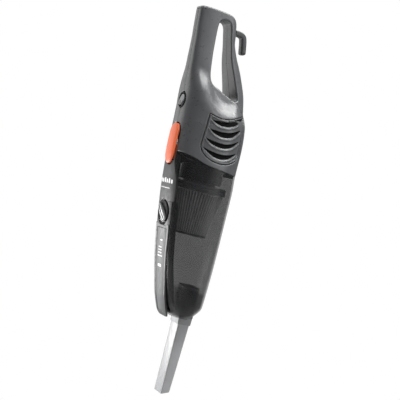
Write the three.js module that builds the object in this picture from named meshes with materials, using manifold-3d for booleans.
// Handheld vacuum cleaner: upright body with a loop handle, a clear dust cup and a crevice tool.
//
// Units are millimetres. +Z runs up the long axis, the handle is at the top and the crevice tool
// at the bottom. -Y is the front, which carries the switch, the release button and the dial.
// The origin is in the rear grip of the handle, level with the middle of the hand opening.
// Most heights are given as the distance down from the top of the handle, see at().

import * as THREE from "three";
import { mergeVertices } from "three/addons/utils/BufferGeometryUtils.js";
import Module from "manifold-3d";

const wasm = await Module();
wasm.setup();

// ---------------------------------------------------------------- driving dimensions

const HANDLE_TOP = 75; // from the origin up to the top of the handle
const GAP = 0.3; // clearance between neighbouring pieces
const WALL = 2.2; // wall of the moulded shells
const SKIN_SIDES = 24; // points round one cross-section of the body

// The body's skin, one row for each height: distance down, front Y, rear Y, half-width,
// Y of the widest place, squareness of the front half and of the rear half.
const STATIONS = [
  [-6, -67.6, -8.0, 16, -35, 4.5, 3.6],
  [4, -66.8, -6.5, 16, -35, 4.5, 3.6],
  [19, -65.7, -4.2, 16.3, -32, 4.5, 3.5],
  [32, -64.6, -2.4, 16.9, -30, 4.4, 3.3],
  [41, -63.7, -0.6, 17.4, -28, 4.4, 3.2],
  [58, -62.6, 7.2, 18.7, -26, 4.3, 3.1],
  [69, -62.0, 13.4, 20.2, -24, 4.2, 3.1],
  [80, -61.2, 19.0, 22.3, -20, 4.0, 3.0],
  [93, -60.6, 24.9, 25, -16, 3.8, 2.9],
  [106, -60.0, 30.1, 27.4, -11, 3.5, 2.8],
  [118, -59.1, 33.6, 33.6, -6, 3.2, 2.6],
  [127, -58.5, 34.8, 40, -2, 3.0, 2.5],
  [135, -58.0, 36.2, 44, 0, 2.9, 2.3],
  [142, -57.7, 39.6, 46.2, 1, 2.8, 2.2],
  [154, -57.2, 43.3, 48, 1, 2.8, 2.2],
  [183, -56.0, 46.7, 48, 1, 2.8, 2.2],
  [225, -53.8, 46.8, 48, 1, 2.8, 2.2],
  [246, -51.5, 48.6, 48, 1, 2.8, 2.2],
  [264, -49.4, 48.8, 48, 1, 2.8, 2.2],
  [298, -44.4, 48.8, 48, 1, 2.8, 2.2],
  [330, -39.0, 48.8, 48, 2, 2.7, 2.2],
  [363, -32.4, 48.6, 47.4, 2, 2.6, 2.2],
  [390, -24.6, 47.6, 46.9, 4, 2.5, 2.2],
  [413, -17.2, 46.5, 45.2, 6, 2.4, 2.2],
  [422, -13.4, 45.2, 43.8, 8, 2.4, 2.2],
  [428, -10.6, 40.4, 41, 11, 2.4, 2.2],
  [434, -6.8, 34.0, 36.5, 14, 2.4, 2.2],
  [439.5, -1.0, 27.0, 29, 15, 2.4, 2.2],
];
const CUP_BOTTOM = 439.5;

// The joint between the housing and the dust cup, seen from the side: [Y, down].
const SEAM = [
  [-75, 205.5], [-50, 209.2], [-36, 212.5], [-20, 217.7], [-4, 220.4], [12, 222], [40, 223.8], [75, 224.4],
];

// The top of the handle, seen from the side: [Y, down].
const TOP_EDGE = [
  [-75, 0.6], [-60, 0], [-42, 0], [-25, 0.8], [-16.5, 2.7], [-10.5, 7], [-6.5, 14], [-5, 22], [20, 22],
];

// The hand opening, seen from the side: [Y, down], going round.
const OPENING = [
  [-36.7, 24], [-36.2, 45], [-35.3, 70], [-34.2, 90], [-31.5, 100.5], [-26.5, 106], [-18.5, 109],
  [-11, 112.6], [0, 117], [8, 119.6], [13, 119], [14, 114], [10, 103], [4.8, 89.5], [-5, 64], [-10.6, 42],
  [-14.2, 28], [-16.6, 18.5], [-20, 13.3], [-25.5, 11.2], [-31.5, 11.8], [-35.3, 15.6],
];

// Side vents: one louvred panel in each flank.
const VENT = {
  front: -32, rear: 33, shoulder: 191, bottom: 213,
  upper: [[-30, 147], [-18, 149.5], [-4, 149.5], [10, 145.5], [22, 139.6], [31, 136.5]],
};
// Each slot smiles: down at its front end, its middle and its rear end, then its half-width.
const SLOTS = [
  [152, 159, 147.5, 25.5], [164.5, 174, 161, 26], [178.5, 189, 175.5, 27], [190.5, 205.5, 191.5, 28],
];
const SLOT_HEIGHT = 5.4;

const SWITCH = { down: 135, radius: 11.8 };
const BUTTON_GAP = 0.7; // the visible gap round the release button
const BUTTON = { top: 168.5, bottom: 228.5, halfWidth: 14, face: -60.6, thickness: 7.2, travel: 3 };
const DIAL = {
  down: 297.4, faceY: -45.6, tilt: THREE.MathUtils.degToRad(9.5), radius: 17, thickness: 4.2,
  seatRadius: 18.2,
};
const SPRING = {
  down: 182, front: BUTTON.face + BUTTON.thickness + GAP, rear: -40, radius: 3.4, wire: 0.5, turns: 5,
};

// The spine plate under the dial: [down, front Y, half-width of the frame].
const SPINE = [
  [313, -41.4, 23.5], [328, -38.6, 23.3], [347, -35.2, 22.4], [362, -32.2, 21.8], [376, -29.0, 21.2],
  [390, -25.4, 20.6], [413, -19.4, 19.6], [424, -15.4, 19.0], [436, -10.4, 18.4], [443, -6.6, 17.6],
];
const SPINE_THICKNESS = 3.2;
const SPINE_CHAMFER = 0.6;
const INLAY_DEPTH = 1.2; // pocket in the spine frame for the pale strip
const INLAY_MARGIN = 6.5; // frame left on each side of the strip
const RIB = { inset: 9, halfWidth: 26 }; // solid front rib of the cup, which carries dial and spine

const TOOL = {
  halfWidth: 14, front: 15.5, rearTop: 33.4, rearTip: 28.2, wall: 1.8,
  top: 419, taperFrom: 450, tipFront: 553.5, tipRear: 549.5,
};
const DUCT = { top: 395, wall: 1.8 };
const COLLAR = { top: CUP_BOTTOM + GAP, bottom: 449.5, margin: 3.2 };

const MOTOR = { top: 141, bottom: 192, canRadius: 27, fanRadius: 38, coverRadius: 41 };
const FILTER = { flange: 246, radius: 39.5, tipRadius: 27, pleats: 22, coneTop: 258, coneBottom: 318 };
const HOOK = { down: 21.5, y: -4 };
const INLET = { down: 143.5, y: 40.2, tilt: THREE.MathUtils.degToRad(21), radius: 5.5 };

// Screws through the housing, entering from the -X side: [Y, down, X of the head's seat].
const SCREWS = [
  [-50, 17, -8], [-48, 106, -9], [10, 84.5, -10], [24.5, 118, -10], [-44, 158, -10], [35, 157, -10],
];

// ---------------------------------------------------------------- helpers

const at = (down) => HANDLE_TOP - down;

const STANDARD = (color, roughness, metalness = 0) =>
  new THREE.MeshStandardMaterial({ color, roughness, metalness });
const MATERIAL = {
  satinGrey: STANDARD(0x5d5e61, 0.38),
  darkPlastic: STANDARD(0x2a2b2d, 0.5),
  midGrey: STANDARD(0x8c8e91, 0.42),
  paleSilver: STANDARD(0xc2c4c6, 0.35, 0.3),
  orange: STANDARD(0xf2683a, 0.4),
  smoked: new THREE.MeshStandardMaterial(
    { color: 0x3a3c40, roughness: 0.08, transparent: true, opacity: 0.45 }),
  rubber: STANDARD(0x1c1c1d, 0.85),
  paper: STANDARD(0xe6e3da, 0.9),
  foam: STANDARD(0x2f3133, 1.0),
  steel: STANDARD(0xb8babd, 0.3, 1.0),
  copper: STANDARD(0x8a5a3a, 0.4, 0.8),
  toolGrey: STANDARD(0xa9abad, 0.4),
};

// A closed geometry as a solid, turned right side out if its faces point inwards.
function solid(geometry) {
  const plain = new THREE.BufferGeometry();
  plain.setAttribute("position", geometry.getAttribute("position"));
  if (geometry.index) plain.setIndex(geometry.index);
  const merged = mergeVertices(plain, 1e-4);
  const vertProperties = merged.getAttribute("position").array;
  const triVerts = new Uint32Array(merged.index.array);
  const build = () => new wasm.Manifold(new wasm.Mesh({ numProp: 3, vertProperties, triVerts }));
  const made = build();
  if (made.volume() > 0) return made;
  for (let i = 0; i < triVerts.length; i += 3)
    [triVerts[i + 1], triVerts[i + 2]] = [triVerts[i + 2], triVerts[i + 1]];
  return build();
}

function geometryOf(body) {
  const { vertProperties, triVerts } = body.getMesh();
  const geometry = new THREE.BufferGeometry();
  geometry.setAttribute("position", new THREE.Float32BufferAttribute(vertProperties, 3));
  geometry.setIndex([...triVerts]);
  geometry.computeVertexNormals();
  return geometry;
}

function piece(name, body, material) {
  const mesh = new THREE.Mesh(geometryOf(body), material);
  mesh.name = name;
  return mesh;
}

const join = (...bodies) => bodies.reduce((sum, body) => sum.add(body));
const cut = (body, ...tools) => tools.reduce((left, tool) => left.subtract(tool), body);

function box(xLow, xHigh, yLow, yHigh, zLow, zHigh) {
  const geometry = new THREE.BoxGeometry(xHigh - xLow, yHigh - yLow, zHigh - zLow);
  geometry.translate((xLow + xHigh) / 2, (yLow + yHigh) / 2, (zLow + zHigh) / 2);
  return solid(geometry);
}

// A cylinder along X, Y or Z, centred on the given point.
function cylinder(radius, length, axis, centre, sides = 24) {
  const geometry = new THREE.CylinderGeometry(radius, radius, length, sides);
  if (axis === "z") geometry.rotateX(Math.PI / 2);
  if (axis === "x") geometry.rotateZ(Math.PI / 2);
  geometry.translate(...centre);
  return solid(geometry);
}

// A body of revolution about Z from its closed half profile, given as [radius, z].
function turned(profile, sides = 40) {
  const points = profile.map(([radius, z]) => new THREE.Vector2(radius, z));
  const geometry = new THREE.LatheGeometry(points, sides);
  geometry.rotateX(Math.PI / 2);
  return solid(geometry);
}

// A ring about Z, from its four corners.
const ring = (inner, outer, low, high, sides) =>
  turned([[inner, low], [outer, low], [outer, high], [inner, high], [inner, low]], sides);

// A side-view outline, [Y, down] points, extruded across X.
function acrossX(outline, xLow, xHigh) {
  const shape = new THREE.Shape(outline.map(([y, down]) => new THREE.Vector2(y, at(down))));
  const geometry = new THREE.ExtrudeGeometry(shape, { depth: xHigh - xLow, bevelEnabled: false });
  geometry.translate(0, 0, xLow);
  geometry.applyMatrix4(new THREE.Matrix4().makeBasis(
    new THREE.Vector3(0, 1, 0), new THREE.Vector3(0, 0, 1), new THREE.Vector3(1, 0, 0)));
  return solid(geometry);
}

// A front-view outline, [X, down] points, extruded along Y.
function alongY(outline, yLow, yHigh) {
  const shape = new THREE.Shape(outline.map(([x, down]) => new THREE.Vector2(x, at(down))));
  const geometry = new THREE.ExtrudeGeometry(shape, { depth: yHigh - yLow, bevelEnabled: false });
  geometry.rotateX(Math.PI / 2);
  geometry.translate(0, yHigh, 0);
  return solid(geometry);
}

// A stadium outline (a slot with round ends) standing on end, [X, down] points.
function stadium(halfWidth, top, bottom, steps = 8) {
  const arc = (centre, from) => Array.from({ length: steps + 1 }, (_, i) => {
    const angle = from + (Math.PI * i) / steps;
    return [halfWidth * Math.cos(angle), centre + halfWidth * Math.sin(angle)];
  });
  return [...arc(top + halfWidth, Math.PI), ...arc(bottom - halfWidth, 0)];
}

// A closed solid through rows of points, each row a ring of equal count.
function loft(rows) {
  const count = rows[0].length;
  const vertices = rows.flat();
  const faces = [];
  for (let r = 0; r + 1 < rows.length; r++)
    for (let i = 0; i < count; i++) {
      const j = (i + 1) % count;
      const [a, b, c, d] = [r * count + i, r * count + j, (r + 1) * count + j, (r + 1) * count + i];
      faces.push(a, b, c, a, c, d);
    }
  [0, rows.length - 1].forEach((r, end) => {
    const centre = new THREE.Vector3();
    rows[r].forEach((point) => centre.addScaledVector(point, 1 / count));
    const hub = vertices.push(centre) - 1;
    for (let i = 0; i < count; i++) {
      const [a, b] = [r * count + i, r * count + ((i + 1) % count)];
      faces.push(...(end ? [a, b, hub] : [b, a, hub]));
    }
  });
  const geometry = new THREE.BufferGeometry().setFromPoints(vertices);
  geometry.setIndex(faces);
  return solid(geometry);
}

// Smooth reading of a table whose first column is the place: a cubic through its rows.
function readTable(table, place) {
  const last = table.length - 1;
  const x = THREE.MathUtils.clamp(place, table[0][0], table[last][0]);
  let i = 0;
  while (i < last - 1 && table[i + 1][0] < x) i++;
  const slope = (k, column) => {
    const [low, high] = [Math.max(k - 1, 0), Math.min(k + 1, last)];
    return (table[high][column] - table[low][column]) / (table[high][0] - table[low][0]);
  };
  const span = table[i + 1][0] - table[i][0];
  const t = (x - table[i][0]) / span;
  return table[0].map((_, c) => {
    if (c === 0) return x;
    const [p, q] = [table[i][c], table[i + 1][c]];
    return (2 * t ** 3 - 3 * t ** 2 + 1) * p + (t ** 3 - 2 * t ** 2 + t) * span * slope(i, c)
      + (3 * t ** 2 - 2 * t ** 3) * q + (t ** 3 - t ** 2) * span * slope(i + 1, c);
  });
}

// ---------------------------------------------------------------- the body's skin

// One cross-section of the body, moved in by `inset`.
function section(down, inset) {
  const [, front, rear, half, middle, frontPower, rearPower] = readTable(STATIONS, down);
  return Array.from({ length: SKIN_SIDES }, (_, i) => {
    const angle = (2 * Math.PI * i) / SKIN_SIDES;
    const [c, s] = [Math.cos(angle), Math.sin(angle)];
    const power = 2 / (s < 0 ? frontPower : rearPower);
    const reach = s < 0 ? middle - front - inset : rear - middle - inset;
    return new THREE.Vector3(
      (half - inset) * Math.sign(c) * Math.abs(c) ** power,
      middle + reach * Math.sign(s) * Math.abs(s) ** power,
      at(down),
    );
  });
}

// The body as a solid between two heights, moved in by `inset`.
function skin(inset, top, bottom) {
  const between = STATIONS.map(([down]) => down).filter((down) => down > top + 1 && down < bottom - 1);
  return loft([top, ...between, bottom].map((down) => section(down, inset)));
}

const shiftDown = (outline, distance) => outline.map(([y, down]) => [y, down + distance]);

// Everything above (or below) the housing joint, moved down by `distance`.
const aboveSeam = (distance) =>
  acrossX([...shiftDown(SEAM, distance), [75, -40], [-75, -40]], -60, 60);
const belowSeam = (distance) =>
  acrossX([...shiftDown(SEAM, distance), [75, 480], [-75, 480]], -60, 60);

const belowTopEdge = (distance) =>
  acrossX([...shiftDown(TOP_EDGE, distance), [60, 22], [60, 480], [-75, 480]], -60, 60);

// The hand opening as a through-cut, grown outwards by `margin`.
function openingCut(margin) {
  const centre = [-14, 78];
  const points = OPENING.map(([y, down], i) => {
    const [previous, next] = [OPENING.at(i - 1), OPENING[(i + 1) % OPENING.length]];
    const along = new THREE.Vector2(next[0] - previous[0], next[1] - previous[1]).normalize();
    const outward = new THREE.Vector2(along.y, -along.x);
    const side = Math.sign(outward.x * (y - centre[0]) + outward.y * (down - centre[1])) || 1;
    return [y + outward.x * margin * side, down + outward.y * margin * side];
  });
  return acrossX(points, -60, 60);
}

// ---------------------------------------------------------------- housing

// The louvred area of one flank, seen from the side, moved in by `inset`: [Y, down].
function ventOutline(inset) {
  const steps = 12;
  const [middle, half] = [(VENT.rear + VENT.front) / 2, (VENT.rear - VENT.front) / 2 - inset];
  const drop = VENT.bottom - VENT.shoulder - inset;
  const lower = Array.from({ length: steps + 1 }, (_, i) => {
    const angle = (Math.PI * i) / steps;
    return [middle + half * Math.cos(angle), VENT.shoulder + drop * Math.sin(angle)];
  });
  const upper = VENT.upper.map(([y, down]) => [y - Math.sign(y) * inset, down + inset]);
  return [...lower, ...upper];
}

// One exhaust slot, seen from the side: a smile that tapers to its ends.
function slotOutline([front, middle, rear, halfWidth]) {
  const steps = 6;
  const edge = (sign) => Array.from({ length: steps + 1 }, (_, i) => {
    const t = -1 + (2 * i) / steps;
    const ends = (front + rear) / 2 + ((rear - front) / 2) * t;
    const thickness = 0.8 + (SLOT_HEIGHT / 2 - 0.8) * (1 - t * t);
    return [t * halfWidth, middle + (ends - middle) * t * t + sign * thickness];
  });
  return [...edge(-1), ...edge(1).reverse()];
}

function housing() {
  const outer = cut(skin(0, -6, 232).intersect(belowTopEdge(0)), openingCut(0));
  const cavity = cut(skin(WALL, -6, 232).intersect(belowTopEdge(WALL)), openingCut(WALL));
  const bosses = join(...SCREWS.map(([y, down]) => cylinder(4.2, 100, "x", [0, y, at(down)], 12)))
    .intersect(skin(WALL / 2, -6, 232));
  const shell = join(cut(outer, cavity), cut(bosses, openingCut(0)));
  const buttonSlot = alongY(
    stadium(BUTTON.halfWidth + BUTTON_GAP, BUTTON.top - BUTTON_GAP, BUTTON.bottom + 8), -75, -30);
  const switchHole = cylinder(SWITCH.radius + GAP, 30, "y", [0, -57, at(SWITCH.down)], 28);
  const hookHole = cylinder(2.6 + GAP, 16, "y", [0, HOOK.y, at(HOOK.down)], 14);
  return cut(shell.intersect(aboveSeam(-GAP / 2)),
    acrossX(ventOutline(0), -60, -15), acrossX(ventOutline(0), 15, 60),
    buttonSlot, switchHole, hookHole, inletDisc(INLET.radius + GAP, -8, 8), capBlock(GAP));
}

// The front edge of the handle's top, where a cap closes the column.
const capBlock = (margin) => box(-12.5 - margin, 12.5 + margin, -80, -44 + margin, at(3.4 + margin), at(-20));

function socketCap() {
  const plate = skin(0, -6, 30).intersect(belowTopEdge(0)).intersect(capBlock(0));
  const stem = box(-7, 7, -62, -56, at(12), at(3.2));
  return join(plate, cut(stem, box(-5.4, 5.4, -60.6, -57.4, at(20), at(4.8))));
}

// One side of the split housing, bored for its screws; heads and clearance holes are on the -X side.
function housingHalf(whole, side) {
  const half = side < 0 ? box(-60, -GAP / 2, -90, 70, -170, 100) : box(GAP / 2, 60, -90, 70, -170, 100);
  const pilot = (y, down) => cylinder(1.9, 26, "x", [0, y, at(down)], 10);
  const through = (y, down, seat) => join(
    cylinder(1.9, 60, "x", [-16, y, at(down)], 10), cylinder(3.6, 60, "x", [seat - 30, y, at(down)], 12));
  const bores = SCREWS.map((place) => (side < 0 ? through(...place) : pilot(...place)));
  return cut(whole.intersect(half), ...bores);
}

function screw([y, down, seat]) {
  const shank = cylinder(1.6, 11 - seat, "x", [(9 + seat) / 2, y, at(down)], 8);
  const head = cylinder(3.2, 2.4, "x", [seat - GAP - 1.2, y, at(down)], 12);
  return join(shank, head);
}

// A curved louvred panel, flush in the flank.
function ventPanel(side) {
  const [xLow, xHigh] = side < 0 ? [-60, -15] : [15, 60];
  const wall = cut(skin(0, 130, 225), skin(WALL, 130, 225));
  const flank = wall.intersect(acrossX(ventOutline(GAP), xLow, xHigh));
  return cut(flank, ...SLOTS.map((slot) => acrossX(slotOutline(slot), xLow, xHigh)));
}

// The sheet of foam that covers the slots from inside.
function ventFoam(side) {
  const [xLow, xHigh] = side < 0 ? [-60, -15] : [15, 60];
  return cut(skin(WALL + GAP, 130, 225), skin(WALL + 2, 130, 225))
    .intersect(acrossX(ventOutline(5), xLow, xHigh));
}

// ---------------------------------------------------------------- handle fittings

// J-shaped hook for the cord, with its pivot stub.
function cordHook() {
  const stub = cylinder(2.6, 7, "y", [0, HOOK.y + 0.5, at(HOOK.down)], 14);
  const path = new THREE.CatmullRomCurve3([[-1, 0], [5, 0], [10.5, 2], [13.2, 8], [14.8, 16], [16.6, 27]]
    .map(([y, drop]) => new THREE.Vector3(0, y, at(HOOK.down + drop))));
  // The outline's x axis lies along X on this path, so the bar is 12 wide and 7.6 thick.
  const outline = new THREE.Shape(stadium(3.8, -6, 6, 4).map(([x, down]) => new THREE.Vector2(down, x)));
  return join(stub, solid(new THREE.ExtrudeGeometry(outline, { steps: 10, extrudePath: path })));
}

// A disc on the axis of the cord inlet, square to the sloping rear wall there.
function inletDisc(radius, low, high, sides = 16) {
  const geometry = new THREE.CylinderGeometry(radius, radius, high - low, sides);
  geometry.translate(0, (low + high) / 2, 0);
  geometry.rotateX(INLET.tilt);
  geometry.translate(0, INLET.y, at(INLET.down));
  return solid(geometry);
}

// Rubber bushing where a mains lead would enter.
function cordInlet() {
  const flange = inletDisc(INLET.radius + 1.6, -7, -WALL - 2.4);
  return cut(join(inletDisc(INLET.radius, -6, 1.4), flange), inletDisc(3.2, -9, 9, 12));
}

// ---------------------------------------------------------------- switch and release button

function switchBody() {
  const z = at(SWITCH.down);
  const barrel = cylinder(SWITCH.radius, 7, "y", [0, -54.6, z], 28);
  const block = box(-8, 8, -51.5, -40, z - 9, z + 9);
  const terminals = join(box(-5.5, -4.5, -41, -35, z - 3, z + 3), box(4.5, 5.5, -41, -35, z - 3, z + 3));
  const well = cylinder(SWITCH.radius - 2, 6, "y", [0, -56.4, z], 28);
  return cut(join(barrel, block, terminals), well);
}

// Round rocker: a disc with a face bent about its middle, the upper half pressed in.
function switchRocker() {
  const radius = SWITCH.radius - 2.8;
  const disc = cylinder(radius, 12, "y", [0, -58, at(SWITCH.down)], 28);
  const side = acrossX([[-58.2, -12], [-58.6, 0], [-61.8, 12], [-57.0, 12], [-54.4, 0], [-56.0, -12]]
    .map(([y, drop]) => [y, SWITCH.down + drop]), -20, 20);
  return disc.intersect(side);
}

function releaseButton() {
  const outline = stadium(BUTTON.halfWidth, BUTTON.top, BUTTON.bottom);
  const back = BUTTON.face + BUTTON.thickness;
  const crown = acrossX([
    [BUTTON.face + 2.2, BUTTON.top - 1], [BUTTON.face + 0.3, BUTTON.top + 6], [BUTTON.face, BUTTON.top + 22],
    [BUTTON.face + 0.7, BUTTON.top + 44], [BUTTON.face + 2.2, BUTTON.bottom - 6],
    [BUTTON.face + 4.4, BUTTON.bottom + 1], [back, BUTTON.bottom + 1], [back, BUTTON.top - 1],
  ], -20, 20);
  const arm = box(-6, 6, back - 1, -46, at(220), at(199));
  return join(alongY(outline, BUTTON.face - 1, back).intersect(crown), arm);
}

function buttonSpring() {
  class Helix extends THREE.Curve {
    getPoint(t) {
      const angle = 2 * Math.PI * SPRING.turns * t;
      const [low, high] = [SPRING.front + SPRING.wire, SPRING.rear - SPRING.wire];
      const [across, up] = [SPRING.radius * Math.cos(angle), SPRING.radius * Math.sin(angle)];
      return new THREE.Vector3(across, low + (high - low) * t, at(SPRING.down) + up);
    }
  }
  const wire = new THREE.Shape().absarc(0, 0, SPRING.wire, 0, 2 * Math.PI);
  return solid(new THREE.ExtrudeGeometry(wire, { steps: 26, curveSegments: 3, extrudePath: new Helix() }));
}

function latchFrame() {
  const z = at(SPRING.down);
  const plate = box(-13, 13, SPRING.rear + GAP, SPRING.rear + 2.3, z - 9, z + 9);
  const arms = join(box(-13, -11, SPRING.rear - 8, SPRING.rear + 1, z - 9, z + 9),
    box(11, 13, SPRING.rear - 8, SPRING.rear + 1, z - 9, z + 9));
  return join(plate, arms);
}

// ---------------------------------------------------------------- motor

function motorCan() {
  const [top, bottom] = [at(MOTOR.top), at(MOTOR.bottom)];
  const can = turned([
    [4, top], [MOTOR.canRadius - 3, top], [MOTOR.canRadius, top - 3], [MOTOR.canRadius, bottom],
    [MOTOR.canRadius - 2, bottom], [MOTOR.canRadius - 2, top - 4], [4, top - 2], [4, top],
  ], 22);
  return join(can, ring(4, 9, top - 1, top + 6, 20));
}

function fieldWinding() {
  const winding = ring(18.6, MOTOR.canRadius - 2.4, at(MOTOR.bottom - 5), at(MOTOR.top + 20), 24);
  return cut(winding, box(-30, 30, -5, 5, at(MOTOR.bottom), at(MOTOR.bottom - 11)),
    box(-30, 30, -5, 5, at(MOTOR.top + 26), at(MOTOR.top)));
}

// Shaft, commutator and laminated core, turning with the fan: [radius, drop below the motor's top].
const armature = () => turned([
  [0, 77], [3, 77], [3, 47], [17.8, 44], [17.8, 22], [9, 18], [9, 6], [3, 5], [3, -4], [0, -4],
].map(([radius, drop]) => [radius, at(MOTOR.top + drop)]), 20);

function carbonBrush(side) {
  const z = at(MOTOR.top + 12);
  return side < 0 ? box(-21, -9.4, -3.5, 3.5, z - 3.5, z + 3.5) : box(9.4, 21, -3.5, 3.5, z - 3.5, z + 3.5);
}

function impeller() {
  const [back, front] = [at(MOTOR.bottom + 6), at(MOTOR.bottom + 17)];
  const blades = Array.from({ length: 6 }, (_, i) => {
    const blade = new THREE.Shape();
    blade.absarc(0, 24, 24, -Math.PI / 2 + 0.42, 0.05);
    blade.absarc(0, 24, 22.6, 0.05, -Math.PI / 2 + 0.42, true);
    const geometry = new THREE.ExtrudeGeometry(blade,
      { depth: back - front, bevelEnabled: false, curveSegments: 2 });
    geometry.translate(0, 0, front);
    geometry.rotateZ((2 * Math.PI * i) / 6);
    return solid(geometry);
  });
  const plate = ring(3 + GAP, MOTOR.fanRadius, back - 0.5, back + 1, 32);
  const hub = ring(3 + GAP, 10, front, back, 16);
  return join(plate, hub, ...blades).intersect(cylinder(MOTOR.fanRadius, 60, "z", [0, 0, back], 32));
}

const fanCover = () => {
  const [top, bottom] = [at(MOTOR.bottom + 2.5), at(MOTOR.bottom + 25)];
  const [outer, inner] = [MOTOR.coverRadius, MOTOR.coverRadius - 1.4];
  return turned([
    [12, top], [outer, top], [outer, bottom], [16, bottom], [16, bottom + 1.4],
    [inner, bottom + 1.4], [inner, top - 1.4], [12, top - 1.4], [12, top],
  ], 26);
};

const motorMount = () => ring(9 + GAP, 14, at(MOTOR.top - GAP), at(MOTOR.top - 6), 20);
const fanSeal = () => ring(
  MOTOR.coverRadius + GAP, MOTOR.coverRadius + 2, at(MOTOR.bottom + 21), at(MOTOR.bottom + 13), 26);

// Bulkhead between motor and dust cup, with the nose that takes the filter.
function motorGuard() {
  const [low, high] = [at(221.5), at(219.5)];
  const plate = ring(17, 41.2, low, high, 26);
  const nose = ring(28, 31, at(FILTER.flange - 3), high, 26);
  const spokes = join(box(-20, 20, -1.2, 1.2, low, high), box(-1.2, 1.2, -20, 20, low, high));
  return join(plate, nose, spokes);
}

// Insulated leads from the cord inlet to the switch terminals.
function lead(side) {
  const path = new THREE.CatmullRomCurve3([
    [1.5, 39, 144], [1.5, 33, 146], [2, 29.5, 140], [3, 20, 131], [4, 0, 128.5], [5, -20, 128.5],
    [5, -34.4, 133],
  ].map(([x, y, down]) => new THREE.Vector3(side * x, y, at(down))));
  const wire = new THREE.Shape().absarc(0, 0, 1.1, 0, 2 * Math.PI);
  return solid(new THREE.ExtrudeGeometry(wire, { steps: 12, curveSegments: 3, extrudePath: path }));
}

// ---------------------------------------------------------------- dust cup

// The spine plate's volume from `lift` in front of its face to `depth` behind it, `margin` wider all round.
function spineBody(depth, lift, margin) {
  const [top, bottom] = [SPINE[0][0] - margin, SPINE.at(-1)[0] + margin];
  const between = SPINE.map(([down]) => down).filter((down) => down > top + 2 && down < bottom - 2);
  return loft([top, ...between, bottom].map((down) => {
    const [, y, half] = readTable(SPINE, down);
    const [side, edge, face] = [half + margin, half + margin - SPINE_CHAMFER, y - lift];
    return [
      [-side, y + depth], [side, y + depth], [side, face + SPINE_CHAMFER],
      [edge, face], [-edge, face], [-side, face + SPINE_CHAMFER],
    ].map(([px, py]) => new THREE.Vector3(px, py, at(down)));
  }));
}

const spineFrame = () => cut(spineBody(SPINE_THICKNESS, 0, 0), spineBody(INLAY_DEPTH, 5, -INLAY_MARGIN),
  dialDisc(DIAL.seatRadius + GAP, -12, 12));
const spineInlay = () => spineBody(INLAY_DEPTH - GAP, 0, -INLAY_MARGIN - GAP);

// The grey panel over the cup's front, under the release button: [X, down].
const PANEL = [
  [16, 190], [16.5, 223], [20, 234], [24.5, 246], [27, 259], [27, 277], [25, 280.4],
  [-25, 280.4], [-27, 277], [-27, 259], [-24.5, 246], [-20, 234], [-16.5, 223], [-16, 190],
];
const grown = (outline, margin) => outline.map(([x, down]) =>
  [x + Math.sign(x) * margin, down + (down > 240 ? margin : -margin)]);

const buttonClearance = () => alongY(
  stadium(BUTTON.halfWidth + BUTTON_GAP, 150, BUTTON.bottom + BUTTON_GAP),
  -75, BUTTON.face + BUTTON.thickness + BUTTON.travel + 2 * GAP);

function frontPanel() {
  const plate = cut(skin(0, 196, 290), skin(WALL, 196, 290)).intersect(alongY(PANEL, -70, -10));
  const dialHole = dialDisc(DIAL.seatRadius + GAP, -12, 12);
  return cut(plate.intersect(belowSeam(GAP / 2)), buttonClearance(), dialHole);
}

function dialAxisPoint(distance) {
  return [0, DIAL.faceY + distance * Math.cos(DIAL.tilt), at(DIAL.down) + distance * Math.sin(DIAL.tilt)];
}

// A disc square to the sloping front, from `front` to `back` behind the dial's face.
function dialDisc(radius, front, back, sides = 28) {
  const geometry = new THREE.CylinderGeometry(radius, radius, back - front, sides);
  geometry.rotateX(DIAL.tilt);
  geometry.translate(...dialAxisPoint((front + back) / 2));
  return solid(geometry);
}

function dustCup() {
  const wall = cut(skin(0, 196, CUP_BOTTOM), skin(WALL, 196, CUP_BOTTOM - WALL));
  const rib = cut(skin(0, 196, CUP_BOTTOM), skin(RIB.inset, 196, CUP_BOTTOM))
    .intersect(box(-RIB.halfWidth, RIB.halfWidth, -70, 0, at(CUP_BOTTOM), at(196)))
    .intersect(belowSeam(4.5));
  const [ductFront, ductRear] = [TOOL.front - GAP, TOOL.rearTop + GAP];
  const half = TOOL.halfWidth + GAP;
  const duct = box(-half - DUCT.wall, half + DUCT.wall, ductFront - DUCT.wall, ductRear + DUCT.wall,
    at(CUP_BOTTOM), at(DUCT.top));
  const bore = box(-half, half, ductFront, ductRear, at(CUP_BOTTOM + 20), at(DUCT.top - 10));
  const panelRecess = cut(skin(-2, 190, 290), skin(WALL + GAP, 190, 290))
    .intersect(alongY(grown(PANEL, GAP), -70, -10));
  const armSlot = box(-6.8, 6.8, -60, -41.5, at(222), at(196));
  const body = join(wall, rib, duct).intersect(belowSeam(GAP / 2));
  return cut(body, bore, panelRecess, armSlot, buttonClearance(),
    dialDisc(DIAL.seatRadius + GAP, -12, 7.2), spineBody(SPINE_THICKNESS + GAP, 12, GAP));
}

// Round seat that the dial turns in, let into the rib.
function dialSeat() {
  const body = dialDisc(DIAL.seatRadius, 1.2, 7);
  const well = dialDisc(DIAL.radius + GAP, -6, DIAL.thickness + GAP);
  return cut(body, well);
}

function dialKnob() {
  const disc = dialDisc(DIAL.radius, 1, DIAL.thickness);
  const grip = new THREE.Shape();
  grip.moveTo(-DIAL.radius + 1.2, -2.2);
  grip.quadraticCurveTo(0, -7.5, DIAL.radius - 1.2, -2.2);
  grip.lineTo(DIAL.radius - 1.2, 2.2);
  grip.quadraticCurveTo(0, 7.5, -DIAL.radius + 1.2, 2.2);
  const bar = new THREE.ExtrudeGeometry(grip, {
    depth: 2.6, bevelThickness: 0.8, bevelSize: 0.8, bevelOffset: -0.8, bevelSegments: 1, curveSegments: 8 });
  bar.rotateZ(THREE.MathUtils.degToRad(-42)); // the grip stands diagonally at rest
  bar.rotateX(Math.PI / 2 + DIAL.tilt);
  bar.translate(...dialAxisPoint(1.8));
  return join(disc, solid(bar));
}

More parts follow.
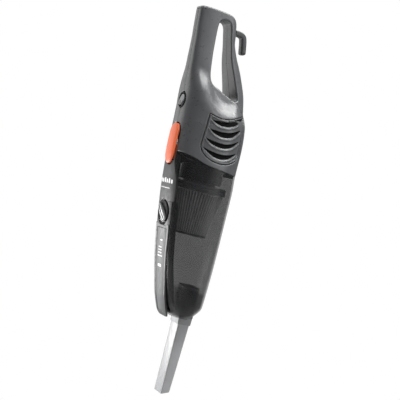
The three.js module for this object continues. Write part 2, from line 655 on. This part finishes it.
// Rubber lip along the seam, open at the front where the button and its arm move.
function cupSeal() {
  const lip = cut(skin(WALL + GAP, 196, 241), skin(WALL + 2.2, 195, 242));
  const opening = box(-BUTTON.halfWidth - 1.2, BUTTON.halfWidth + 1.2, -70, -30, at(232), at(190));
  return cut(lip.intersect(aboveSeam(3.5)).intersect(belowSeam(-4)), opening);
}

// Grey collar round the crevice tool, under the cup.
function nozzleCollar() {
  const half = TOOL.halfWidth + GAP;
  const [front, rear] = [TOOL.front - GAP, TOOL.rearTop + GAP];
  const outline = (margin, down) => roundedBox(half + margin, front - margin, rear + margin, 3 + margin / 2)
    .map(([x, y]) => new THREE.Vector3(x, y, at(down)));
  const body = loft([
    outline(COLLAR.margin, COLLAR.top), outline(COLLAR.margin, COLLAR.top + 5), outline(1.6, COLLAR.bottom)]);
  return cut(body, box(-half, half, front, rear, at(COLLAR.bottom + 5), at(COLLAR.top - 5)));
}

// A rectangle in plan with rounded corners, as [x, y] points.
function roundedBox(half, front, rear, radius, steps = 3) {
  const corners = [[half - radius, rear - radius, 0], [-half + radius, rear - radius, 1],
    [-half + radius, front + radius, 2], [half - radius, front + radius, 3]];
  return corners.flatMap(([x, y, quarter]) => Array.from({ length: steps + 1 }, (_, i) => {
    const angle = (Math.PI / 2) * (quarter + i / steps);
    return [x + radius * Math.cos(angle), y + radius * Math.sin(angle)];
  }));
}

const inletFlap = () =>
  box(-14.5, 14.5, TOOL.front - 1.5, TOOL.rearTop + 1.2, at(DUCT.top - GAP), at(DUCT.top - GAP - 1.6));

// ---------------------------------------------------------------- filter

function filterFrame() {
  const { flange, radius } = FILTER;
  return turned([
    [21, at(224)], [24, at(224)], [24, at(flange)], [radius + 1, at(flange)], [radius + 1, at(flange + 11)],
    [radius - 1, at(flange + 11)], [radius - 1, at(flange + 2)], [21, at(flange + 2)], [21, at(224)],
  ], 26);
}

// Pleated paper cone, hollow inside.
function filterPleats() {
  const row = (down, outer, depth) => Array.from({ length: FILTER.pleats * 2 }, (_, i) => {
    const angle = (Math.PI * i) / FILTER.pleats;
    const radius = outer - (i % 2) * depth;
    return new THREE.Vector3(radius * Math.cos(angle), radius * Math.sin(angle), at(down));
  });
  const upper = row(FILTER.coneTop, FILTER.radius - 1.5, 6);
  const body = loft([upper, row(FILTER.coneBottom, FILTER.tipRadius, 5)]);
  const [top, bottom] = [at(FILTER.coneTop - 1), at(FILTER.coneBottom - 2)];
  const hollow = turned([[0, top], [28, top], [18, bottom], [0, bottom]], 20);
  return cut(body, hollow);
}

const filterCap = () => turned([
  [0, GAP], [FILTER.tipRadius + 1, GAP], [FILTER.tipRadius + 1, 3], [FILTER.tipRadius - 1, 4.5],
  [8, 4.5], [7, 9], [0, 9],
].map(([radius, drop]) => [radius, at(FILTER.coneBottom + drop)]), 28);

// ---------------------------------------------------------------- crevice tool

// Flat nozzle: a straight sleeve that tapers towards a slanted mouth.
function creviceTool() {
  const sleeve = (inset, cornerRadius, top) => {
    const rows = [
      [top, TOOL.rearTop], [TOOL.taperFrom, TOOL.rearTop], [TOOL.tipFront + 10, TOOL.rearTip - 0.5],
    ];
    const plan = (rear) =>
      roundedBox(TOOL.halfWidth - inset, TOOL.front + inset, rear - inset, cornerRadius, 2);
    return loft(rows.map(([down, rear]) => plan(rear).map(([x, y]) => new THREE.Vector3(x, y, at(down)))));
  };
  const slope = (TOOL.tipFront - TOOL.tipRear) / (TOOL.rearTip - TOOL.front);
  const mouthAt = (y) => [y, TOOL.tipFront - slope * (y - TOOL.front)];
  const belowMouth = acrossX([mouthAt(0), mouthAt(60), [60, 600], [0, 600]], -40, 40);
  return cut(sleeve(0, 2.6, TOOL.top), sleeve(TOOL.wall, 0.9, TOOL.top - 2), belowMouth);
}

// ---------------------------------------------------------------- assembly

function group(...meshes) {
  const made = new THREE.Group();
  made.add(...meshes);
  return made;
}

const whole = housing();
const casing = group(
  piece("housing_left", housingHalf(whole, -1), MATERIAL.satinGrey),
  piece("housing_right", housingHalf(whole, 1), MATERIAL.satinGrey),
  piece("vent_panel_left", ventPanel(-1), MATERIAL.satinGrey),
  piece("vent_panel_right", ventPanel(1), MATERIAL.satinGrey),
  piece("vent_foam_left", ventFoam(-1), MATERIAL.foam),
  piece("vent_foam_right", ventFoam(1), MATERIAL.foam),
  piece("cord_inlet", cordInlet(), MATERIAL.rubber),
  ...SCREWS.map((place, i) => piece(`housing_screw_${i + 1}`, screw(place), MATERIAL.steel)),
);
const controls = group(
  piece("switch_body", switchBody(), MATERIAL.darkPlastic),
  piece("switch_rocker", switchRocker(), MATERIAL.darkPlastic),
  piece("release_button", releaseButton(), MATERIAL.orange),
  piece("button_spring", buttonSpring(), MATERIAL.steel),
  piece("latch_frame", latchFrame(), MATERIAL.darkPlastic),
  piece("cord_hook", cordHook(), MATERIAL.satinGrey),
  piece("socket_cap", socketCap(), MATERIAL.midGrey),
);
const motor = group(
  piece("motor_can", motorCan(), MATERIAL.steel),
  piece("field_winding", fieldWinding(), MATERIAL.copper),
  piece("armature", armature(), MATERIAL.steel),
  piece("carbon_brush_left", carbonBrush(-1), MATERIAL.darkPlastic),
  piece("carbon_brush_right", carbonBrush(1), MATERIAL.darkPlastic),
  piece("impeller", impeller(), MATERIAL.paleSilver),
  piece("fan_cover", fanCover(), MATERIAL.steel),
  piece("motor_mount", motorMount(), MATERIAL.rubber),
  piece("fan_seal", fanSeal(), MATERIAL.rubber),
  piece("motor_guard", motorGuard(), MATERIAL.darkPlastic),
  piece("lead_live", lead(1), MATERIAL.rubber),
  piece("lead_neutral", lead(-1), MATERIAL.rubber),
  piece("cup_seal", cupSeal(), MATERIAL.rubber),
);
const filter = group(
  piece("filter_frame", filterFrame(), MATERIAL.darkPlastic),
  piece("filter_pleats", filterPleats(), MATERIAL.paper),
  piece("filter_cap", filterCap(), MATERIAL.darkPlastic),
);
const cup = group(
  piece("dust_cup", dustCup(), MATERIAL.smoked),
  piece("front_panel", frontPanel(), MATERIAL.midGrey),
  piece("dial_seat", dialSeat(), MATERIAL.darkPlastic),
  piece("dial_knob", dialKnob(), MATERIAL.midGrey),
  piece("spine_frame", spineFrame(), MATERIAL.midGrey),
  piece("spine_inlay", spineInlay(), MATERIAL.paleSilver),
  piece("inlet_flap", inletFlap(), MATERIAL.rubber),
  piece("nozzle_collar", nozzleCollar(), MATERIAL.midGrey),
);
const tool = group(piece("crevice_tool", creviceTool(), MATERIAL.toolGrey));

const vacuum = new THREE.Group();
vacuum.add(casing, controls, motor, filter, cup, tool);
export default vacuum;
